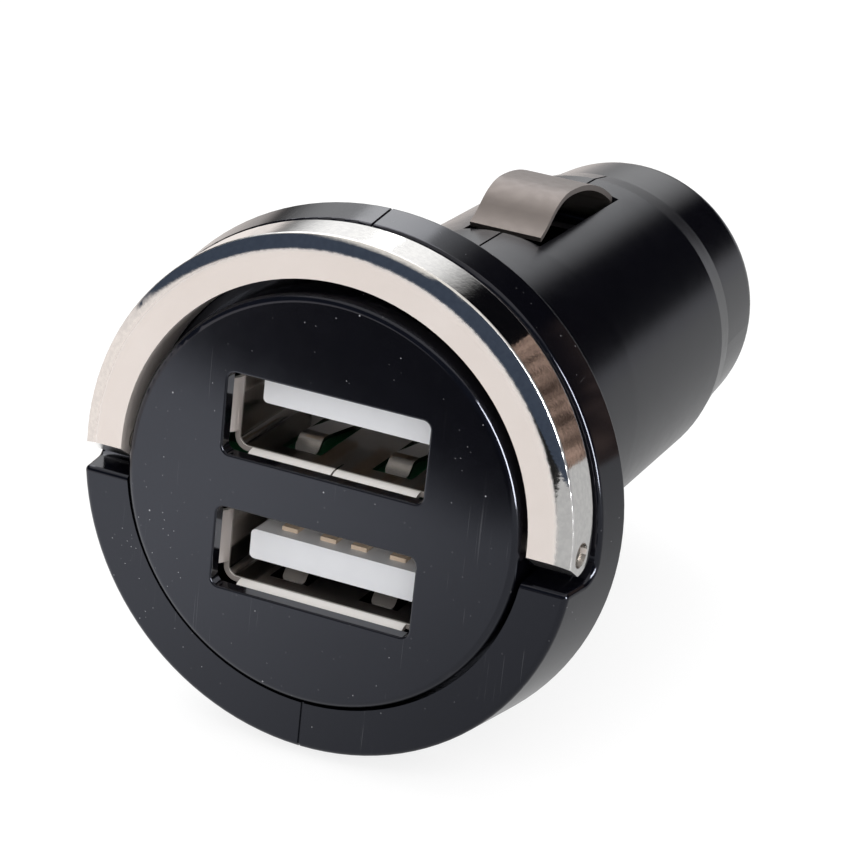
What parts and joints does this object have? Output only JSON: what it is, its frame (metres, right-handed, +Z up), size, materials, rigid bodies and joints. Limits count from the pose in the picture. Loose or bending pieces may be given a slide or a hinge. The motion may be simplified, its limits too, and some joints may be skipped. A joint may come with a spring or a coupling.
{
  "type": "car usb charger plug",
  "caption": "Plug for a vehicle's power socket with USB sockets in a round head, a plated folding pull handle, sprung side contacts and a sprung tip.",
  "frame": {"origin": "on the plug's axis at the rear face of the flange, which seats on the vehicle's socket", "axes": "+Y along the plug's axis towards its tip, +Z up with the folded handle on top, the face with the sockets looks along -Y"},
  "size_m": [0.0324, 0.0548, 0.0324],
  "materials": {
    "housing_black": "glossy moulded black plastic",
    "faceplate_black": "glossy moulded black plastic",
    "nose_black": "glossy moulded black plastic, a little softer",
    "handle_chrome": "bright plating, slightly wavy",
    "pin_steel": "turned steel",
    "shell_nickel": "nickel plated sheet, bright",
    "tongue_white": "white moulded plastic",
    "contact_gold": "thin gold plating",
    "spring_nickel": "satin nickel plated spring strip",
    "tip_nickel": "nickel plated turned brass",
    "coil_steel": "drawn spring wire",
    "terminal_brass": "stamped brass",
    "board_green": "green solder mask",
    "component_black": "moulded epoxy",
    "component_grey": "pressed ferrite",
    "can_aluminium": "drawn can"
  },
  "bodies": {
    "plug": {"left_housing": "housing_black", "right_housing": "housing_black", "faceplate": "faceplate_black", "nose_cap": "nose_black", "left_hinge_pin": "pin_steel", "right_hinge_pin": "pin_steel", "upper_usb_shell": "shell_nickel", "lower_usb_shell": "shell_nickel", "upper_usb_tongue": "tongue_white", "lower_usb_tongue": "tongue_white", "upper_usb_contacts": "contact_gold", "lower_usb_contacts": "contact_gold", "tip_terminal": "terminal_brass", "circuit_board": "board_green", "regulator_chip": "component_black", "inductor": "component_grey", "rectifier_diode": "component_black", "input_capacitor": "can_aluminium", "output_capacitor": "can_aluminium"},
    "handle": {"pull_handle": "handle_chrome"},
    "upper_spring": {"upper_ground_spring": "spring_nickel"},
    "lower_spring": {"lower_ground_spring": "spring_nickel"},
    "tip": {"centre_contact": "tip_nickel", "contact_spring": "coil_steel"}
  },
  "joints": [
    {"name": "handle_hinge", "type": "hinge", "parent": "plug", "child": "handle", "pos_m": [0, -0.0047, 0.0004], "axis": [1, 0, 0], "range_deg": [0, 90]},
    {"name": "upper_spring_flex", "type": "hinge", "parent": "plug", "child": "upper_spring", "pos_m": [0, 0.0316, 0.00785], "axis": [1, 0, 0], "range_deg": [0, 16], "stiffness_Nm_per_rad": 0.1},
    {"name": "lower_spring_flex", "type": "hinge", "parent": "plug", "child": "lower_spring", "pos_m": [0, 0.0316, -0.00785], "axis": [-1, 0, 0], "range_deg": [0, 16], "stiffness_Nm_per_rad": 0.1},
    {"name": "tip_press", "type": "slide", "parent": "plug", "child": "tip", "axis": [0, -1, 0], "range_m": [0, 0.0025], "stiffness_N_per_m": 1500, "deforming": ["contact_spring"]}
  ]
}
